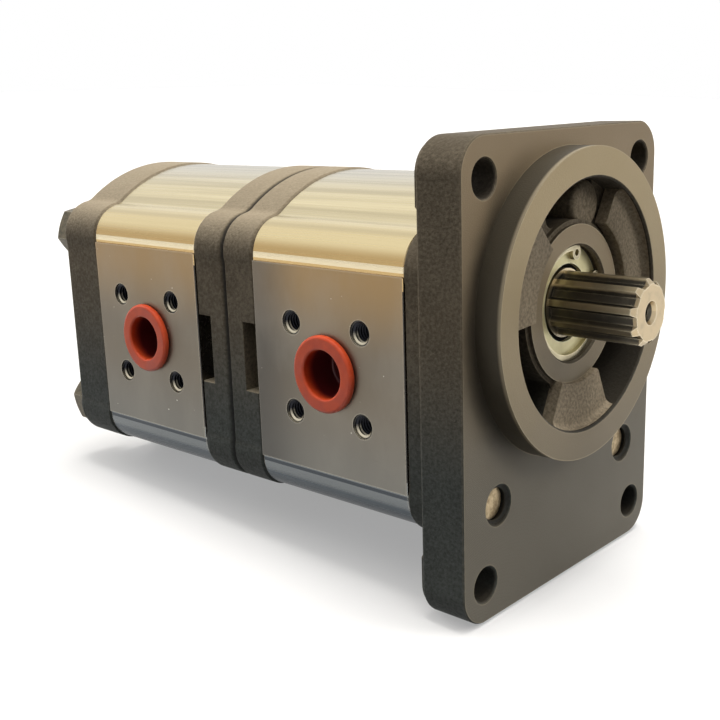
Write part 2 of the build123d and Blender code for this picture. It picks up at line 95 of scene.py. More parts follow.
def seen_directly(tree):
    """1 for rays from the camera, from a mirror-like surface or through glass."""
    rays = node(tree, "ShaderNodeLightPath").outputs
    direct = maths(tree, "MAXIMUM", rays["Is Camera Ray"], rays["Is Glossy Ray"])
    return maths(tree, "MAXIMUM", direct, rays["Is Transmission Ray"])


def link_piece(name, mesh):
    piece = bpy.data.objects.new(name, mesh)
    bpy.context.scene.collection.objects.link(piece)
    return piece


def grid_mesh(name, corners, close_first=False, close_second=False):
    """Quads over an (n, m, 3) grid of corners, in order of the first and then the second index."""
    n, m = corners.shape[:2]
    first = np.arange(n if close_first else n - 1)
    second = np.arange(m if close_second else m - 1)
    i, j = (a.ravel() for a in np.meshgrid(first, second, indexing="ij"))
    i_next, j_next = (i + 1) % n, (j + 1) % m
    quads = np.stack([i * m + j, i_next * m + j, i_next * m + j_next, i * m + j_next], axis=-1)
    mesh = bpy.data.meshes.new(name)
    mesh.from_pydata(corners.reshape(-1, 3).tolist(), [], quads.tolist())
    return mesh


floor_reach = 3.0
floor_clearance = 0.02
flange_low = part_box("front_cover")[0]
cover_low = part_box("rear_cover")[0]
flange_foot = Vector((-12.1 * mm, 0, flange_low.z))
cover_foot = Vector((cover_low.x + 2.4 * mm, 0, cover_low.z))
floor_slope = (cover_foot.z - flange_foot.z) / (cover_foot.x - flange_foot.x)


def floor_sheet(steps):
    """z = slope * (x - foot) + foot height, less a hair of clearance, over a square."""
    across = np.linspace(-floor_reach, floor_reach, steps)
    x, y = np.meshgrid(across, across, indexing="ij")
    z = flange_foot.z + floor_slope * (x - flange_foot.x) - floor_clearance * mm
    return grid_mesh("floor", np.stack([x, y, z], axis=-1))


floor = link_piece("floor", floor_sheet(steps=3))
pale_paper = bpy.data.materials.new("pale_paper")
pale_paper.use_nodes = True
paper = pale_paper.node_tree
direct = seen_directly(paper)
sheet = paper.nodes["Principled BSDF"]
sheet.inputs["Roughness"].default_value = 0.95
sheet.inputs["Specular IOR Level"].default_value = 0.0
shade_on_pump = (0.06, 0.06, 0.06, 1)
shade_seen = (0.55, 0.55, 0.55, 1)
paper_colour = node(paper, "ShaderNodeMix", {
    "Factor": direct, 6: shade_on_pump, 7: shade_seen}, data_type="RGBA")
paper.links.new(paper_colour.outputs[2], sheet.inputs["Base Color"])
lift = node(paper, "ShaderNodeEmission", {
    "Color": (1, 1, 1, 1), "Strength": maths(paper, "MULTIPLY", direct, 0.34)})
both = node(paper, "ShaderNodeAddShader", {0: sheet.outputs[0], 1: lift.outputs[0]})
paper.links.new(both.outputs[0], paper.nodes["Material Output"].inputs["Surface"])
floor.data.materials.append(pale_paper)

surround = bpy.data.worlds.new("surround")
surround.use_nodes = True
bpy.context.scene.world = surround
sky = surround.node_tree
direction = node(sky, "ShaderNodeSeparateXYZ", {
    0: node(sky, "ShaderNodeTexCoord").outputs["Generated"]}).outputs
room = node(sky, "ShaderNodeValToRGB", {
    "Fac": maths(sky, "MULTIPLY_ADD", direction["Z"], 0.5, 0.5)})
room.color_ramp.elements[0].color = (0.03, 0.032, 0.036, 1)
room.color_ramp.elements[1].color = (1.20, 1.17, 1.12, 1)
for height, level in ((0.52, 0.05), (0.75, 0.15)):
    room.color_ramp.elements.new(height).color = (level, level, level, 1)
backdrop = node(sky, "ShaderNodeMix", {
    "Factor": seen_directly(sky), 6: room.outputs["Color"], 7: (1.0, 1.0, 1.0, 1)}, data_type="RGBA")
background = sky.nodes["Background"]
sky.links.new(backdrop.outputs[2], background.inputs["Color"])
background.inputs["Strength"].default_value = 1.0


def sun(name, towards, strength, spread, tint, glints=True):
    """Broad soft sun that shines from a direction, spread in degrees, seen or not in shiny metal."""
    light = bpy.data.lights.new(name, "SUN")
    light.energy = strength
    light.angle = math.radians(spread)
    light.color = tint
    lit = bpy.data.objects.new(name, light)
    lit.rotation_euler = Vector(towards).to_track_quat("Z", "Y").to_euler()
    lit.visible_glossy = glints
    bpy.context.scene.collection.objects.link(lit)


sun("overhead_softbox", (0.10, 0.05, 1.0), 2.7, 30, (1.0, 0.975, 0.94), glints=False)
sun("overhead_glint", (0.10, -0.25, 1.0), 0.15, 50, (1.0, 0.975, 0.94))
sun("shaft_end_softbox", (0.85, 0.55, 0.6), 0.98, 25, (1.0, 0.97, 0.93), glints=False)
sun("end_cover_softbox", (-1.0, -0.10, 0.5), 1.2, 40, (1.0, 0.97, 0.93), glints=False)


# Mounting flange
# Grey iron cast in sand, with a rough olive-brown skin. The mounting face, the rim of the pilot
# and the hub are turned bright, and the pockets inside the pilot stay as cast.
def place_in_mm(tree):
    """Place on the piece in millimetres."""
    place = node(tree, "ShaderNodeTexCoord").outputs["Object"]
    return node(tree, "ShaderNodeVectorMath", {0: place, "Scale": 1 / mm}, operation="SCALE").outputs[0]


def noise(tree, place, grain, detail=3.0, rough=0.55, stretch=None):
    """Noise with lumps about grain millimetres wide, closer together along axes with a high stretch."""
    if stretch:
        place = node(tree, "ShaderNodeMapping", {"Vector": place, "Scale": stretch}).outputs[0]
    return node(tree, "ShaderNodeTexNoise", {
        "Vector": place, "Scale": 1 / grain, "Detail": detail, "Roughness": rough}).outputs["Fac"]


def ramp(tree, value, low, high):
    """0 below low, 1 above high and smooth between."""
    return node(tree, "ShaderNodeMapRange", {
        "Value": value, "From Min": low, "From Max": high}, interpolation_type="SMOOTHSTEP").outputs["Result"]


def blend(tree, share, first, second):
    """Value between two values, by a share."""
    return node(tree, "ShaderNodeMix", {"Factor": share, 2: first, 3: second}).outputs[0]


def blend_colour(tree, share, first, second):
    """Colour between two colours, by a share."""
    return node(tree, "ShaderNodeMix", {"Factor": share, 6: first, 7: second}, data_type="RGBA").outputs[2]


def new_effect(name, inputs, outputs):
    """Empty node group with float inputs {name: value} and outputs {name: socket type}."""
    group = bpy.data.node_groups.new(name, "ShaderNodeTree")
    for key, value in inputs.items():
        group.interface.new_socket(key, in_out="INPUT", socket_type="NodeSocketFloat").default_value = value
    for key, kind in outputs.items():
        group.interface.new_socket(key, in_out="OUTPUT", socket_type=kind)
    return group, group.nodes.new("NodeGroupInput").outputs, group.nodes.new("NodeGroupOutput").inputs


def sand_cast_skin():
    """Height: grains about Grain mm wide with pits between them. Tone: slow blotches and specks."""
    group, given, out = new_effect("sand_cast_skin", {"Grain": 0.9}, {
        "Height": "NodeSocketFloat", "Tone": "NodeSocketFloat"})
    place = place_in_mm(group)
    scaled = node(group, "ShaderNodeVectorMath", {
        0: place, "Scale": maths(group, "DIVIDE", 1.0, given["Grain"])}, operation="SCALE").outputs[0]
    cells = node(group, "ShaderNodeTexVoronoi", {"Vector": scaled, "Scale": 0.45}, feature="F1")
    pits = maths(group, "SUBTRACT", 1.0, ramp(group, cells.outputs["Distance"], 0.03, 0.32))
    lumps = maths(group, "MULTIPLY_ADD", noise(group, scaled, 0.4, detail=2.0), 0.35,
                  noise(group, scaled, 1.0, detail=2.0, rough=0.5))
    group.links.new(maths(group, "MULTIPLY_ADD", pits, -0.20, lumps), out["Height"])
    specks = maths(group, "MULTIPLY", noise(group, scaled, 1.1, detail=3.0, rough=0.6), 0.70)
    blotches = noise(group, place, 18.0, detail=4.0)
    group.links.new(maths(group, "MULTIPLY_ADD", blotches, 0.30, specks), out["Tone"])
    return group


def rubbed_edges():
    """Wear: 1 where a rounded normal departs from the true one, broken up by noise."""
    group, given, out = new_effect("rubbed_edges", {"Breakup": 0.5}, {"Wear": "NodeSocketFloat"})
    rounded = node(group, "ShaderNodeBevel", {"Radius": 0.6 * mm}, samples=4).outputs[0]
    unrounded = node(group, "ShaderNodeNewGeometry").outputs["True Normal"]
    facing = node(group, "ShaderNodeVectorMath", {0: rounded, 1: unrounded}, operation="DOT_PRODUCT")
    bend = maths(group, "SUBTRACT", 1.0, facing.outputs["Value"])
    broken = maths(group, "MULTIPLY", noise(group, place_in_mm(group), 1.8, detail=4.0), given["Breakup"])
    group.links.new(ramp(group, maths(group, "MULTIPLY_ADD", broken, -0.10, bend), 0.0, 0.09), out["Wear"])
    return group


cast_skin = sand_cast_skin()
edge_rub = rubbed_edges()


def effect(tree, group, **values):
    """Outputs of an effect group placed in a material."""
    made = node(tree, "ShaderNodeGroup", node_tree=group)
    for key, value in values.items():
        made.inputs[key].default_value = value
    return made.outputs


def new_finish(name):
    """Material, its tree and a function that feeds the inputs of its surface shader."""
    finish = bpy.data.materials.new(name)
    finish.use_nodes = True
    tree = finish.node_tree
    surface = tree.nodes["Principled BSDF"]

    def feed(**sockets):
        for key, value in sockets.items():
            target = surface.inputs[key.replace("_", " ")]
            if isinstance(value, bpy.types.NodeSocket):
                tree.links.new(value, target)
            else:
                target.default_value = value

    return finish, tree, feed


def axes_of(tree, vector):
    """X, Y and Z of a vector."""
    return node(tree, "ShaderNodeSeparateXYZ", {0: vector}).outputs


def true_normal(tree):
    """X, Y and Z of the way that the surface faces."""
    return axes_of(tree, node(tree, "ShaderNodeNewGeometry").outputs["True Normal"])


def length(tree, first, second):
    """Length of a flat vector with the two given sides."""
    flat = node(tree, "ShaderNodeCombineXYZ", {"X": first, "Y": second}).outputs[0]
    return node(tree, "ShaderNodeVectorMath", {0: flat}, operation="LENGTH").outputs["Value"]


def times(tree, *shares):
    """Product of two or more values."""
    product = shares[0]
    for share in shares[1:]:
        product = maths(tree, "MULTIPLY", product, share)
    return product


def one_minus(tree, share):
    return maths(tree, "SUBTRACT", 1.0, share)


def away(tree, value, middle):
    """Distance of a value from middle."""
    return maths(tree, "ABSOLUTE", maths(tree, "SUBTRACT", value, middle))


def near(tree, value, middle, reach):
    """1 where a value is within reach of middle."""
    return maths(tree, "LESS_THAN", away(tree, value, middle), reach)


def scaled_colour(factor, red, green, blue):
    return (factor * red, factor * green, factor * blue, 1)


mid_z = -17.25
bolt_y, bolt_z = 30.5, 28.8
mount_hole_y, mount_hole_z, mount_centre_z = 36.0, 50.0, -15.5
pilot_r, pilot_wall, pilot_height = 40.0, 7.7, 7.2
hub_level = 2.5
lathe_feed = 0.35
# Painted shade: cast faces that don't look along X turn darker and blue-grey from 6 mm down to -42 mm, for
# shade and a cool reflection low on the sides.
shade_full_below, shade_none_above = -42.0, 6.0
cool_painted_shade = (0.42, 0.56, 0.74, 1)
recess_shade_black = (0.020, 0.018, 0.015, 1)


def painted_recess_shade(tree, spot, radius, walls):
    """1 where painted shade goes: on the walls of the flange's holes, on the pilot's inner wall and deep in
    the pockets inside it.
    """
    inner_r = pilot_r - pilot_wall
    inner_wall = times(tree, near(tree, radius, inner_r, 0.3), walls)
    inside = maths(tree, "LESS_THAN", radius, inner_r + 0.2)
    deep = one_minus(tree, ramp(tree, spot["X"], -3.5, 1.0))
    side = maths(tree, "ABSOLUTE", spot["Y"])
    to_mount_hole = length(tree, maths(tree, "SUBTRACT", side, mount_hole_y),
                           maths(tree, "SUBTRACT", away(tree, spot["Z"], mount_centre_z), mount_hole_z))
    to_bolt_hole = length(tree, maths(tree, "SUBTRACT", side, bolt_y),
                          maths(tree, "SUBTRACT", spot["Z"], mid_z - bolt_z))
    in_hole = maths(tree, "MAXIMUM", maths(tree, "LESS_THAN", to_mount_hole, 4.7),
                    maths(tree, "LESS_THAN", to_bolt_hole, 5.2))
    in_pilot = maths(tree, "MAXIMUM", times(tree, inside, deep), inner_wall)
    return maths(tree, "MAXIMUM", in_pilot, times(tree, in_hole, walls))


def turned_face(tree, place, spot, radius, wear, smear):
    """Colour and height of a turned face: fine rings round the shaft's axis, a painted reflection that
    makes it greyer and darker low down, paler on the raised rim and hub, and bare on worn edges."""
    lathe_turns = times(tree, radius, 2 * math.pi / lathe_feed)
    rings = maths(tree, "SINE", maths(tree, "MULTIPLY_ADD", noise(tree, place, 20.0), 9.0, lathe_turns))
    grit = noise(tree, place, 0.35, detail=3.0)
    height = maths(tree, "MULTIPLY_ADD", rings, 0.05, times(tree, grit, 0.45))
    raised = ramp(tree, spot["X"], 0.5, 7.0)
    low = blend_colour(tree, raised, (0.165, 0.150, 0.118, 1), (0.225, 0.190, 0.135, 1))
    high = blend_colour(tree, raised, (0.310, 0.238, 0.150, 1), (0.470, 0.375, 0.225, 1))
    # Painted reflection: lighter and warmer higher up, as a bright ceiling and a dark floor would show in
    # turned iron.
    upwards = maths(tree, "MULTIPLY_ADD", smear, 14.0, maths(tree, "ADD", spot["Z"], -7.0))
    colour = blend_colour(tree, ramp(tree, upwards, -50.0, 40.0), low, high)
    return blend_colour(tree, times(tree, wear, 0.8), colour, (0.58, 0.49, 0.34, 1)), height


def painted_pilot_shadow(tree, spot, radius, smear):
    """1 on the mounting face close round the pilot, on the pressure side, where a shadow of the pilot is
    painted.
    """
    from_pilot = maths(tree, "MULTIPLY_ADD", smear, 3.0, radius)
    corner = one_minus(tree, ramp(tree, from_pilot, pilot_r + 0.5, pilot_r + 9.0))
    on_face = maths(tree, "LESS_THAN", spot["X"], 0.5)
    pressure_side = ramp(tree, times(tree, spot["Y"], -1.0), 12.0, 34.0)
    return times(tree, corner, on_face, pressure_side)


def cast_iron(name, turned_levels=(), pale=1.0, cool=1.0, seam=None,
              painted_top_share=0.5, painted_top_colour=(0.40, 0.33, 0.225, 1)):
    """Cast skin, with painted shade and a painted cool reflection that make it darker and cooler low on
    its sides, a colour on upward faces that is painted light on the plates and cover and painted
    shade on the flange, speckled pale at the back and with painted shade in the groove along a seam.
    The flange has turned faces as well, which look along X at the given levels in mm, with the turned
    wall of the pilot, painted shade on its hole walls, on the pilot's inner wall and deep in the
    pockets, and a painted shadow on the face round the pilot."""
    finish, tree, feed = new_finish(name)
    place = place_in_mm(tree)
    spot = axes_of(tree, place)
    facing = true_normal(tree)
    endways = maths(tree, "GREATER_THAN", maths(tree, "ABSOLUTE", facing["X"]), 0.97)
    skin = effect(tree, cast_skin, Grain=0.8)
    wear = effect(tree, edge_rub, Breakup=0.7)["Wear"]
    tone = ramp(tree, skin["Tone"], 0.32, 0.68)

    skin_dark = scaled_colour(pale, 0.108, 0.088, 0.061)
    skin_light = scaled_colour(pale, 0.215, 0.178, 0.126)
    colour = blend_colour(tree, tone, skin_dark, skin_light)
    # Painted shade and a painted cool reflection low down on the sides.
    low_down = one_minus(tree, ramp(tree, spot["Z"], shade_full_below, shade_none_above))
    low_down = times(tree, low_down, maths(tree, "MULTIPLY_ADD", endways, -cool, cool))
    colour = node(tree, "ShaderNodeMix", {"Factor": low_down, 6: colour, 7: cool_painted_shade},
                  data_type="RGBA", blend_type="MULTIPLY").outputs[2]
    # Painted light on upward faces: they blend toward the top colour, paler on the plates and cover; on the
    # flange that colour is dark, painted shade.
    on_top = ramp(tree, facing["Z"], 0.1, 1.0)
    colour = blend_colour(tree, times(tree, on_top, painted_top_share), colour, painted_top_colour)
    looks_back = ramp(tree, times(tree, facing["X"], -1.0), 0.4, 1.0)
    speckle = ramp(tree, noise(tree, place, 1.1, detail=2.0), 0.46, 0.62)
    speckle = times(tree, looks_back, maths(tree, "MULTIPLY_ADD", speckle, 0.40, 0.12))
    colour = blend_colour(tree, speckle, colour, (0.42, 0.345, 0.235, 1))
    colour = blend_colour(tree, times(tree, wear, 0.40), colour, (0.36, 0.30, 0.21, 1))
    # Painted shade: the groove along the seam is darkened nearly to black.
    if seam:
        groove = one_minus(tree, ramp(tree, away(tree, spot["X"], seam), 0.3, 1.1))
        colour = blend_colour(tree, times(tree, groove, 0.85), colour, (0.02, 0.02, 0.02, 1))
    height = skin["Height"]
    roughness = maths(tree, "MULTIPLY_ADD", tone, -0.10, 0.66)
    metallic = 0.0

    if turned_levels:
        radius = length(tree, spot["Y"], spot["Z"])
        walls = one_minus(tree, endways)
        smear = noise(tree, place, 11.0, detail=5.0)
        # Painted shade, nearly black, in the flange's holes, on the pilot's inner wall and deep in its
        # pockets.
        shade_in_recesses = times(tree, painted_recess_shade(tree, spot, radius, walls), 0.72)
        colour = blend_colour(tree, shade_in_recesses, colour, recess_shade_black)
        bright, turned_height = turned_face(tree, place, spot, radius, wear, smear)
        # Painted shadow of the pilot on the mounting face, on the pressure side.
        pilot_shadow = times(tree, painted_pilot_shadow(tree, spot, radius, smear), 0.85)
        bright = blend_colour(tree, pilot_shadow, bright, (0.030, 0.028, 0.023, 1))
        # Painted shade on the pilot's outer wall, and a painted highlight along its lip.
        outer_wall = times(tree, near(tree, radius, pilot_r, 0.4), walls)
        lip_highlight = ramp(tree, spot["X"], pilot_height - 1.3, pilot_height - 0.3)
        wall_shade_colour = blend_colour(tree, lip_highlight, (0.070, 0.060, 0.043, 1), (0.33, 0.28, 0.195, 1))
        bright = blend_colour(tree, outer_wall, bright, wall_shade_colour)
        turned = 0.0
        for level in turned_levels:
            turned = maths(tree, "MAXIMUM", turned, near(tree, spot["X"], level, 0.12))
        turned = maths(tree, "MAXIMUM", times(tree, turned, endways), outer_wall)
        colour = blend_colour(tree, turned, colour, bright)
        height = blend(tree, turned, height, turned_height)
        roughness = blend(tree, turned, roughness, maths(tree, "MULTIPLY_ADD", smear, 0.16, 0.38))
        metallic = blend(tree, turned, 0.0, 0.25)
    bump = node(tree, "ShaderNodeBump", {"Strength": 0.9, "Distance": 0.15 * mm, "Height": height})
    feed(Base_Color=colour, Roughness=roughness, Metallic=metallic, Normal=bump.outputs[0],
         Specular_IOR_Level=0.15)
    return finish


def ride_body(piece):
    """Piece fixed to the pump's body."""
    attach(piece, "pump_body")


slot_of = {part["node"]: part["material_slot"] for part in frame["record"]["subparts"]}
sharp_from = math.radians(28)


def finished_copy(source, name, finish, rounding=0.0, segments=2):
    """Copy of a CAD node's surface with its triangles joined, flat areas merged, curved ones
    shaded smooth and edges rounded by a radius in mm. It takes the node's place."""
    mesh = frame["nodes"][source].data.copy()
    mesh.name = name
    joined = bmesh.new()
    joined.from_mesh(mesh)
    bmesh.ops.remove_doubles(joined, verts=joined.verts, dist=0.001 * mm)
    bmesh.ops.dissolve_limit(joined, angle_limit=math.radians(0.2), verts=joined.verts, edges=joined.edges)
    joined.to_mesh(mesh)
    joined.free()
    if "custom_normal" in mesh.attributes:
        mesh.attributes.remove(mesh.attributes["custom_normal"])
    mesh.shade_smooth()
    mesh.set_sharp_from_angle(angle=sharp_from)
    mesh.materials.clear()
    mesh.materials.append(finish)
    piece = link_piece(name, mesh)
    if rounding:
        edge = piece.modifiers.new("rounded_edges", "BEVEL")
        edge.width = rounding * mm
        edge.segments = segments
        edge.limit_method = "ANGLE"
        edge.angle_limit = sharp_from
        edge.use_clamp_overlap = True
        flat_shading = piece.modifiers.new("flat_shading", "WEIGHTED_NORMAL")
        flat_shading.keep_sharp = True
    ride_body(piece)
    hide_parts(source)


# Painted shade: the flange's upward faces are darkened nearly to black-brown.
flange_iron = cast_iron("flange_iron", turned_levels=(0.0, hub_level, pilot_height),
                        painted_top_share=0.8, painted_top_colour=(0.078, 0.063, 0.042, 1))
finished_copy("front_cover", "mounting_flange", flange_iron, rounding=0.2)


def recess_web(start, stop, inner_r, level, blend_r=1.8, floor=1.0, wall_r=32.25, into_wall=0.3):
    """Sector of the casting between the hub and the pilot's wall, from angle start to stop. Its
    section goes up at inner_r to level, out along it and round up the wall by a quarter circle."""
    sweep = np.linspace(0.0, math.pi / 2, 6)
    climb_r = wall_r - blend_r + blend_r * np.sin(sweep)
    climb_x = level + blend_r * (1 - np.cos(sweep))
    outer_r = wall_r + into_wall
    r = np.concatenate(([inner_r, inner_r, inner_r + 0.5], climb_r, [outer_r, outer_r]))
    x = np.concatenate(([floor, level - 0.4, level], climb_x, [climb_x[-1], floor]))
    angles = np.radians(np.linspace(start, stop, 2 + int((stop - start) / 3)))[:, None]
    corners = np.stack([x + 0 * angles, r * np.cos(angles), r * np.sin(angles)], axis=-1) * mm
    return grid_mesh("web", corners, close_second=True)


# Painted light: the webs and the boss inside the pilot get the cast skin 1.75 times paler, without the shade
# low down.
web_iron_painted_light = cast_iron("web_iron_painted_light", pale=1.75, cool=0.0, painted_top_share=0.0)
web_sectors = ((131, 183, 20.55), (245, 295, 20.55), (-3, 60, 22.6))
webs = bmesh.new()
for start, stop, inner_r in web_sectors:
    webs.from_mesh(recess_web(start, stop, inner_r, level=4.4))
bmesh.ops.holes_fill(webs, edges=webs.edges)
bmesh.ops.recalc_face_normals(webs, faces=webs.faces)
web_mesh = bpy.data.meshes.new("recess_webs")
webs.to_mesh(web_mesh)
webs.free()
web_mesh.shade_smooth()
web_mesh.set_sharp_from_angle(angle=math.radians(40))
web_mesh.materials.append(web_iron_painted_light)
ride_body(link_piece("recess_webs", web_mesh))


def domed_boss(y, z, radius, top, floor, edge_r=1.6):
    """Round boss whose section goes from the middle of its top out, round the edge by a quarter
    circle and down to the floor."""
    sweep = np.linspace(0.0, math.pi / 2, 7)
    r = np.concatenate(([0.01], radius - edge_r + edge_r * np.sin(sweep), [radius]))
    x = np.concatenate(([top + 0.3], top - edge_r * (1 - np.cos(sweep)), [floor]))
    turn = np.linspace(0.0, 2 * math.pi, 48, endpoint=False)[:, None]
    return np.stack([x + 0 * turn, y + r * np.cos(turn), z + r * np.sin(turn)], axis=-1) * mm


boss_mesh = grid_mesh("pocket_boss", domed_boss(7.0, 24.6, 6.4, top=0.9, floor=-8.0), close_first=True)
boss_mesh.shade_smooth()
boss_mesh.materials.append(web_iron_painted_light)
ride_body(link_piece("pocket_boss", boss_mesh))


# Middle plates and end cover
# The same grey iron. Their joint faces are milled and hidden, and the seam between the two plates
# runs in a shallow groove, darkened with painted shade. The long bolts clamp them round the housings.
plate_seam_x = -87.0
plate_iron = cast_iron("plate_iron", seam=plate_seam_x)
cover_iron = cast_iron("cover_iron")
finished_copy("front_stage_plate", "front_plate", plate_iron, rounding=0.3)
finished_copy("rear_stage_plate", "rear_plate", plate_iron, rounding=0.3)
finished_copy("rear_cover", "end_cover", cover_iron, rounding=0.3)


# Housings
# Two aluminium bodies cut from one extruded section. The arches keep the bright skin and the fine
# lines of the die, and the flat sides are milled dull for the port flanges.
flat_side = 41.3
fold_y, crease_y = 28.4, 35.9
upper_edge_z, lower_edge_z = 12.4, -46.3
plate_joint_x = -80.0


def extruded_aluminium(name):
    """Bright skin lined along X, with painted highlight and reflection that make it yellower down the
    shoulders and painted shade that makes it cool and dark underneath, dull milled flats where the
    surface is as wide as flat_side, with painted light and shade on them, and painted shade in the
    bores behind them."""
    finish, tree, feed = new_finish(name)
    place = place_in_mm(tree)
    spot = axes_of(tree, place)
    facing = true_normal(tree)
    side = maths(tree, "ABSOLUTE", spot["Y"])
    milled = near(tree, side, flat_side, 0.1)
    die_lines = noise(tree, place, 2.6, detail=5.0, rough=0.6, stretch=(0.010, 1.0, 1.0))
    hair_lines = noise(tree, place, 0.3, detail=2.0, stretch=(0.02, 1.0, 1.0))
    clouds = noise(tree, place, 18.0, detail=5.0, stretch=(1.0, 1.0, 0.5))
    cutter = noise(tree, place, 0.45, detail=2.0, stretch=(1.0, 1.0, 0.05))
    scratches = ramp(tree, noise(tree, place, 1.4, detail=1.0, stretch=(0.12, 1.0, 1.0)), 0.72, 0.76)
    nicks = ramp(tree, noise(tree, place, 0.9, detail=0.0), 0.845, 0.875)
    skin_height = maths(tree, "MULTIPLY_ADD", hair_lines, 0.25, die_lines)
    milled_height = maths(tree, "MULTIPLY_ADD", scratches, -0.4, times(tree, cutter, 0.25))
    height = maths(tree, "MULTIPLY_ADD", nicks, -0.6, blend(tree, milled, skin_height, milled_height))
    bump = node(tree, "ShaderNodeBump", {"Strength": 0.7, "Distance": 0.05 * mm, "Height": height})
    wear = effect(tree, edge_rub, Breakup=0.3)["Wear"]

    lined = ramp(tree, die_lines, 0.30, 0.70)
    # Painted highlight and reflection: the arch gets paler and yellower down its sides than on the crown, and
    # gold on the shoulders.
    crown = blend_colour(tree, lined, (0.48, 0.440, 0.345, 1), (0.72, 0.665, 0.53, 1))
    slope_highlight = blend_colour(tree, lined, (0.62, 0.530, 0.330, 1), (0.87, 0.755, 0.48, 1))
    skin = blend_colour(tree, ramp(tree, side, 8.0, 24.0), crown, slope_highlight)
    shoulder_sheen = times(tree, ramp(tree, side, 31.0, 37.0), 0.8)
    skin = blend_colour(tree, shoulder_sheen, skin, (0.76, 0.620, 0.345, 1))
    # Painted shade in bands along the fold and the crease.
    fold = one_minus(tree, ramp(tree, away(tree, side, fold_y), 0.3, 1.8))
    crease = one_minus(tree, ramp(tree, away(tree, side, crease_y), 0.2, 1.3))
    fold_shade = times(tree, maths(tree, "MAXIMUM", fold, crease), 0.28)
    skin = blend_colour(tree, fold_shade, skin, (0.40, 0.335, 0.215, 1))
    # Painted shade in a gold-brown band above the upper edge, and a painted highlight along the edge itself.
    edge_band_shade = one_minus(tree, ramp(tree, spot["Z"], upper_edge_z + 2.0, upper_edge_z + 5.4))
    skin = blend_colour(tree, times(tree, edge_band_shade, 0.9), skin, (0.46, 0.308, 0.128, 1))
    skin = blend_colour(tree, near(tree, spot["Z"], upper_edge_z, 0.8), skin, (0.66, 0.570, 0.390, 1))
    # Painted shade and a painted cool reflection underneath, with a painted shadow line along the lower edge.
    underside_shade = blend_colour(tree, ramp(tree, spot["Z"], lower_edge_z - 4.1, lower_edge_z - 2.5),
                             (0.072, 0.087, 0.100, 1), (0.150, 0.162, 0.168, 1))
    underside_shade = blend_colour(tree, ramp(tree, spot["Z"], lower_edge_z - 9.7, lower_edge_z - 6.2),
                             (0.050, 0.057, 0.064, 1), underside_shade)
    lower_edge_shadow = near(tree, spot["Z"], lower_edge_z, 0.5)
    underside_shade = blend_colour(tree, lower_edge_shadow, underside_shade, (0.055, 0.062, 0.070, 1))
    skin = blend_colour(tree, ramp(tree, spot["Z"], -44.0, -26.0), underside_shade, skin)

    # Painted light: the milled flats get warmer and paler towards the top.
    flat = blend_colour(tree, ramp(tree, spot["Z"], -46.0, -20.0),
                        (0.155, 0.150, 0.134, 1), (0.150, 0.130, 0.102, 1))
    flat = blend_colour(tree, ramp(tree, spot["Z"], -14.0, 11.0), flat, (0.270, 0.183, 0.092, 1))
    # Painted light: the flats on the suction side are paler.
    suction_side_light = maths(tree, "GREATER_THAN", spot["Y"], 0.0)
    flat = blend_colour(tree, times(tree, suction_side_light, 0.2), flat, (0.40, 0.36, 0.29, 1))
    # Painted shade: the flats darken towards the plate joint.
    plate_side_shade = one_minus(tree, ramp(tree, spot["X"], plate_joint_x + 6.0, plate_joint_x + 28.0))
    plate_side_shade = times(tree, plate_side_shade, maths(tree, "GREATER_THAN", spot["X"], plate_joint_x), 0.72)
    flat = blend_colour(tree, plate_side_shade, flat, (0.060, 0.058, 0.055, 1))
    flat = blend_colour(tree, times(tree, ramp(tree, clouds, 0.35, 0.75), 0.20), flat, (0.33, 0.31, 0.27, 1))
    flat = blend_colour(tree, times(tree, nicks, 0.7), flat, (0.75, 0.72, 0.65, 1))
    colour = blend_colour(tree, milled, skin, flat)
    colour = blend_colour(tree, times(tree, wear, 0.25), colour, (0.74, 0.69, 0.57, 1))

    # Painted light and shade at the mouths of the holes: bright on their lower walls, dark on the upper.
    mouth = times(tree, near(tree, spot["Z"], mid_z, 24.5), near(tree, side, flat_side - 0.55, 0.45))
    lit_lower_wall = ramp(tree, facing["Z"], 0.05, 0.6)
    mouth_light_and_shade = blend_colour(tree, lit_lower_wall, (0.05, 0.048, 0.045, 1), (0.70, 0.62, 0.45, 1))
    colour = blend_colour(tree, mouth, colour, mouth_light_and_shade)
    # Painted shade in the bores behind the flats.
    bore_shade = times(tree, near(tree, spot["Z"], mid_z, 26.0), maths(tree, "LESS_THAN", side, flat_side - 0.45))
    colour = blend_colour(tree, bore_shade, colour, (0.030, 0.030, 0.032, 1))
    endways = maths(tree, "GREATER_THAN", maths(tree, "ABSOLUTE", facing["X"]), 0.97)
    colour = blend_colour(tree, endways, colour, (0.13, 0.125, 0.115, 1))
    skin_roughness = maths(tree, "MULTIPLY_ADD", die_lines, 0.18, 0.18)
    milled_roughness = maths(tree, "MULTIPLY_ADD", clouds, 0.18, 0.34)
    feed(Base_Color=colour, Metallic=1.0, Normal=bump.outputs[0],
         Roughness=blend(tree, milled, skin_roughness, milled_roughness))
    return finish


bright_aluminium = extruded_aluminium("bright_aluminium")
finished_copy("front_housing", "front_body", bright_aluminium, rounding=0.12)
finished_copy("rear_housing", "rear_body", bright_aluminium, rounding=0.12)


# Threads
# Tapped in the housings round the ports, M6 on the pressure side and M8 on the suction side, and
# M10 in the flange, where the ends of the long bolts stop short of the face.
thread_depth = 0.541
thread_clearance = 0.02


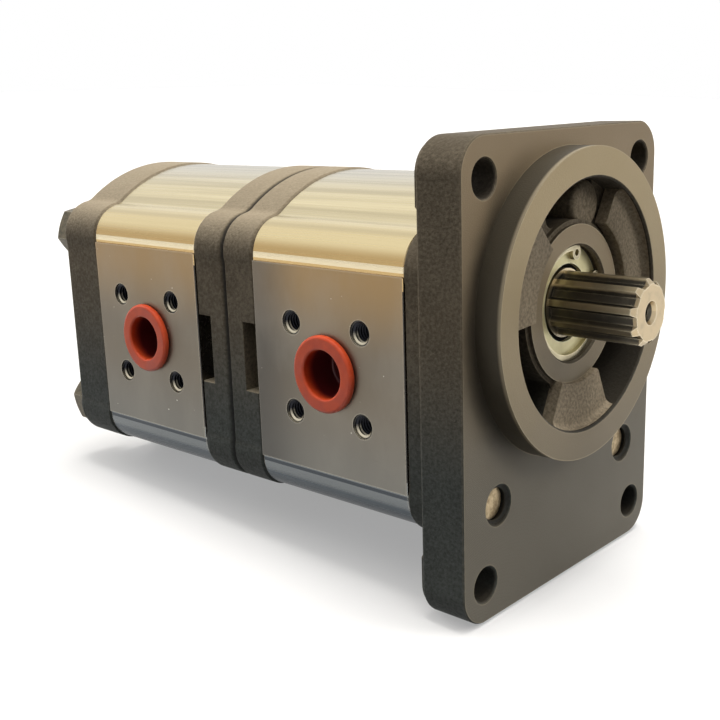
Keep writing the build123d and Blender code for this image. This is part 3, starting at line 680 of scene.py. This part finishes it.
def thread_grid(centre, inward, nominal_r, pitch, start, stop):
    """Corners of an internal thread. Along the helix the depth is pitch * turn / 2 pi + u, and the
    radius over one pitch u goes crest, flank, root, flank. Both ends run out to the root."""
    inward = Vector(inward)
    first = Vector((0, 0, 1))
    second = inward.cross(first)
    crest_r = nominal_r - thread_depth * pitch
    root_r = nominal_r - thread_clearance
    u = np.array([0.0, 0.25, 0.5625, 0.6875, 1.0]) * pitch
    r = np.array([crest_r, crest_r, root_r, root_r, crest_r])
    turns = np.arange(-1.0, (stop - start) / pitch, 1 / 40)
    depth = start + pitch * turns[:, None] + u[None, :]
    ends = np.minimum(depth - start, stop - depth) / (0.35 * pitch)
    radius = root_r + (r[None, :] - root_r) * np.clip(ends, 0, 1)
    depth = np.clip(depth, start, stop)[..., None]
    angle = 2 * math.pi * turns[:, None, None]
    spoke = np.cos(angle) * np.array(first) + np.sin(angle) * np.array(second)
    return (np.array(centre) + depth * np.array(inward) + radius[..., None] * spoke) * mm


def tapped_holes(name, centres, inward, finish, nominal_r, pitch, start, stop):
    """Threads in several like holes, as one piece, from start to stop below their mouths."""
    whole = bmesh.new()
    for centre in centres:
        whole.from_mesh(grid_mesh(name, thread_grid(centre, inward, nominal_r, pitch, start, stop)))
    bmesh.ops.remove_doubles(whole, verts=whole.verts, dist=0.002 * mm)
    bmesh.ops.dissolve_degenerate(whole, dist=0.002 * mm, edges=whole.edges)
    mesh = bpy.data.meshes.new(name)
    whole.to_mesh(mesh)
    whole.free()
    mesh.shade_smooth()
    mesh.set_sharp_from_angle(angle=math.radians(30))
    mesh.materials.append(finish)
    ride_body(link_piece(name, mesh))


def tapped_aluminium(name):
    """Painted light on the lower wall for the first turn below the flat side, and painted shade elsewhere."""
    finish, tree, feed = new_finish(name)
    place = place_in_mm(tree)
    depth = maths(tree, "SUBTRACT", flat_side, maths(tree, "ABSOLUTE", axes_of(tree, place)["Y"]))
    marks = noise(tree, place, 0.4, detail=3.0)
    hole_shade = ramp(tree, maths(tree, "MULTIPLY_ADD", marks, 0.8, depth), 1.2, 3.2)
    # Painted shade deeper in and on the upper walls.
    upper_wall = one_minus(tree, ramp(tree, true_normal(tree)["Z"], 0.0, 0.5))
    hole_shade = maths(tree, "MAXIMUM", hole_shade, upper_wall)
    bump = node(tree, "ShaderNodeBump", {"Strength": 0.6, "Distance": 0.05 * mm, "Height": marks})
    feed(Base_Color=blend_colour(tree, hole_shade, (0.62, 0.56, 0.43, 1), (0.020, 0.021, 0.025, 1)),
         Metallic=1.0, Normal=bump.outputs[0], Roughness=maths(tree, "MULTIPLY_ADD", marks, 0.2, 0.22))
    return finish


cut_thread = tapped_aluminium("cut_thread")
front_port_x, rear_port_x = -47.5, -124.0


def port_circle(x, y, circle):
    """Centres of four holes at 45 degrees on a circle round a port."""
    reach = circle / 2 * math.sqrt(0.5)
    return [(x + dx, y, mid_z + dz) for dx in (-reach, reach) for dz in (-reach, reach)]


for name, port_x in (("front_pressure_threads", front_port_x), ("rear_pressure_threads", rear_port_x)):
    tapped_holes(name, port_circle(port_x, -flat_side, 35.0), (0, 1, 0), cut_thread,
                 nominal_r=3.0, pitch=1.0, start=0.4, stop=11.0)
tapped_holes("suction_threads", port_circle(front_port_x, flat_side, 55.0), (0, -1, 0), cut_thread,
             nominal_r=4.0, pitch=1.25, start=0.4, stop=12.0)
bolt_ends = [(0, side * bolt_y, mid_z - bolt_z) for side in (-1, 1)]
tapped_holes("flange_threads", bolt_ends, (-1, 0, 0), flange_iron,
             nominal_r=5.0, pitch=1.5, start=0.5, stop=2.3)


# Long body bolts
# Four forged steel bolts, phosphated dark, that pass from the end cover through everything into
# the flange. Spanners have rubbed the corners of their heads, and their cut ends are bare.
def phosphated_steel(name):
    """Dark phosphate with rubbed corners, paler on the ends of the heads, and bare metal on the
    ends near the flange."""
    finish, tree, feed = new_finish(name)
    place = place_in_mm(tree)
    spot = axes_of(tree, place)
    tone = ramp(tree, noise(tree, place, 1.6, detail=5.0, rough=0.65), 0.3, 0.7)
    grain = noise(tree, place, 0.5, detail=3.0)
    wear = effect(tree, edge_rub, Breakup=0.9)["Wear"]
    sides = blend_colour(tree, tone, (0.070, 0.059, 0.036, 1), (0.165, 0.136, 0.082, 1))
    ends = blend_colour(tree, tone, (0.130, 0.107, 0.066, 1), (0.300, 0.245, 0.155, 1))
    looks_back = ramp(tree, times(tree, true_normal(tree)["X"], -1.0), 0.3, 0.9)
    dark = blend_colour(tree, looks_back, sides, ends)
    dark = blend_colour(tree, times(tree, wear, 0.75), dark, (0.50, 0.45, 0.34, 1))
    bare = maths(tree, "GREATER_THAN", spot["X"], -5.0)
    sawn = blend_colour(tree, tone, (0.30, 0.225, 0.130, 1), (0.62, 0.50, 0.32, 1))
    colour = blend_colour(tree, bare, dark, sawn)
    bump = node(tree, "ShaderNodeBump", {"Strength": 0.7, "Distance": 0.08 * mm, "Height": grain})
    feed(Base_Color=colour, Metallic=blend(tree, bare, 0.35, 0.9), Normal=bump.outputs[0],
         Roughness=maths(tree, "MULTIPLY_ADD", grain, 0.2, 0.38))
    return finish


phosphate = phosphated_steel("phosphate")
finished_copy("body_bolts", "long_bolts", phosphate, rounding=0.3, segments=3)


# Shaft, gears and coupling
# Case-hardened steel. The splines have painted shade between the teeth and bright tops with a painted
# highlight on the upper side, they are rubbed bright at the turned end, and the gears inside are ground.
def steel(name, dark, light, rough, grain, lines=None, metallic=1.0):
    """Metal whose tone wanders between two colours, with marks about grain mm wide."""
    finish, tree, feed = new_finish(name)
    place = place_in_mm(tree)
    marks = noise(tree, place, grain, detail=3.0, stretch=lines)
    wear = effect(tree, edge_rub, Breakup=0.6)["Wear"]
    colour = blend_colour(tree, ramp(tree, noise(tree, place, 6.0, detail=4.0), 0.3, 0.7), dark, light)
    worn = tuple(min(1.0, 1.7 * c) for c in light[:3]) + (1,)
    colour = blend_colour(tree, times(tree, wear, 0.6), colour, worn)
    bump = node(tree, "ShaderNodeBump", {"Strength": 0.6, "Distance": 0.05 * mm, "Height": marks})
    feed(Base_Color=colour, Metallic=metallic, Normal=bump.outputs[0],
         Roughness=maths(tree, "MULTIPLY_ADD", marks, 0.2, rough - 0.1))
    return finish


def splined_steel(name):
    """Tone by the distance from the shaft's axis: painted shade in the roots and bright tops, with a
    painted highlight on the upper side, and a turned end with rubbed edges."""
    finish, tree, feed = new_finish(name)
    place = place_in_mm(tree)
    spot = axes_of(tree, place)
    radius = length(tree, spot["Y"], spot["Z"])
    mottle = noise(tree, place, 3.0, detail=5.0)
    streaks = noise(tree, place, 0.4, detail=3.0, stretch=(0.15, 1.0, 1.0))
    wear = effect(tree, edge_rub, Breakup=0.5)["Wear"]
    # Painted shade between the teeth, and a painted highlight on the tops of the upper side.
    top = ramp(tree, maths(tree, "MULTIPLY_ADD", mottle, 0.5, radius), 7.9, 8.5)
    upper = maths(tree, "MULTIPLY_ADD", ramp(tree, spot["Z"], -2.0, 7.5), 0.75, 0.25)
    colour = blend_colour(tree, times(tree, top, upper), (0.085, 0.078, 0.064, 1), (0.56, 0.47, 0.31, 1))
    end = maths(tree, "GREATER_THAN", spot["X"], 22.5)
    colour = blend_colour(tree, end, colour, (0.50, 0.400, 0.255, 1))
    mottled = times(tree, ramp(tree, mottle, 0.45, 0.75), 0.3)
    colour = blend_colour(tree, mottled, colour, (0.17, 0.155, 0.125, 1))
    near_end = maths(tree, "MULTIPLY_ADD", ramp(tree, spot["X"], 18.0, 22.0), 0.6, 0.25)
    colour = blend_colour(tree, times(tree, wear, near_end), colour, (0.80, 0.72, 0.54, 1))
    bump = node(tree, "ShaderNodeBump", {"Strength": 0.5, "Distance": 0.04 * mm, "Height": streaks})
    feed(Base_Color=colour, Metallic=1.0, Normal=bump.outputs[0],
         Roughness=maths(tree, "MULTIPLY_ADD", streaks, 0.16, 0.26))
    return finish


def refinish(source, finish):
    """New finish on a CAD node that is shown as it is."""
    shown = frame["nodes"][source]
    shown.data.materials.clear()
    shown.data.materials.append(finish)


spline_steel = splined_steel("spline_steel")
ground_steel = steel("ground_steel", (0.46, 0.43, 0.37, 1), (0.60, 0.57, 0.50, 1), rough=0.26, grain=0.4,
                     lines=(1.0, 0.15, 0.15))
refinish("drive_gear_shaft", spline_steel)
for source in ("rear_drive_gear", "front_driven_gear", "rear_driven_gear", "shaft_coupling", "dowel_pins"):
    refinish(source, ground_steel)


# Shaft seals, their washer and retaining ring
# Two lip seals are pressed into the hub. A washer with a pale yellow plating lies on them and a
# spring steel ring holds it.
def moulded_rubber(name, colour):
    """Nearly black rubber, faintly bloomed, with a fine grain."""
    finish, tree, feed = new_finish(name)
    place = place_in_mm(tree)
    bloom = ramp(tree, noise(tree, place, 3.0, detail=4.0), 0.3, 0.7)
    bump = node(tree, "ShaderNodeBump", {
        "Strength": 0.5, "Distance": 0.02 * mm, "Height": noise(tree, place, 0.25, detail=2.0)})
    bloomed = scaled_colour(2.2, *colour[:3])
    feed(Base_Color=blend_colour(tree, bloom, colour, bloomed), Normal=bump.outputs[0],
         Roughness=maths(tree, "MULTIPLY_ADD", bloom, 0.15, 0.5))
    return finish


seal_rubber = moulded_rubber("seal_rubber", (0.012, 0.012, 0.012, 1))
for source, slot in slot_of.items():
    if slot == "seal_rubber":
        refinish(source, seal_rubber)
yellow_zinc = steel("yellow_zinc", (0.72, 0.65, 0.36, 1), (0.86, 0.79, 0.47, 1), rough=0.42, grain=0.6,
                    metallic=0.4)
spring_steel = steel("spring_steel", (0.34, 0.30, 0.20, 1), (0.50, 0.45, 0.31, 1), rough=0.36, grain=0.4)
refinish("seal_washer", yellow_zinc)
refinish("seal_circlip", spring_steel)


# Bearing blocks and liners
# The blocks are machined aluminium and float in the chambers, where the oil behind them presses
# them on the gears' sides. Their liners are rolled bronze.
machined_aluminium = steel("machined_aluminium", (0.62, 0.60, 0.56, 1), (0.74, 0.72, 0.68, 1),
                           rough=0.34, grain=0.5)
rolled_bronze = steel("rolled_bronze", (0.42, 0.28, 0.12, 1), (0.55, 0.38, 0.18, 1), rough=0.36, grain=0.5)
for source, slot in slot_of.items():
    if source.endswith("bearing_block"):
        refinish(source, machined_aluminium)
    if slot == "liner_bronze":
        refinish(source, rolled_bronze)


# Shipping plugs
# Soft polyethylene, injection moulded in orange-red: two hollow ones in the pressure ports and a
# larger one in the suction port. They are pushed in by hand and thrown away on fitting.
def moulded_polyethylene(name):
    """Orange-red plastic that lets a little light in, faintly scuffed, with painted shade in the hollows."""
    finish, tree, feed = new_finish(name)
    place = place_in_mm(tree)
    side = maths(tree, "ABSOLUTE", axes_of(tree, place)["Y"])
    # Painted shade deep in the hollows.
    hollow = one_minus(tree, ramp(tree, side, flat_side - 2.3, flat_side + 1.3))
    flow = ramp(tree, noise(tree, place, 5.0, detail=3.0), 0.25, 0.75)
    scuffs = noise(tree, place, 0.5, detail=2.0)
    bump = node(tree, "ShaderNodeBump", {"Strength": 0.4, "Distance": 0.03 * mm, "Height": scuffs})
    red = blend_colour(tree, flow, (0.70, 0.072, 0.018, 1), (0.86, 0.110, 0.030, 1))
    feed(Base_Color=blend_colour(tree, hollow, red, (0.10, 0.005, 0.007, 1)),
         Normal=bump.outputs[0], Roughness=maths(tree, "MULTIPLY_ADD", flow, 0.12, 0.36),
         Subsurface_Weight=0.05, Subsurface_Radius=(1.2 * mm, 0.4 * mm, 0.2 * mm))
    return finish


plug_red = moulded_polyethylene("plug_red")
finished_copy("pressure_plug_front", "front_plug", plug_red, rounding=0.6, segments=4)
finished_copy("pressure_plug_rear", "rear_plug", plug_red, rounding=0.6, segments=4)
finished_copy("suction_cap", "large_cap", plug_red, rounding=0.35, segments=3)
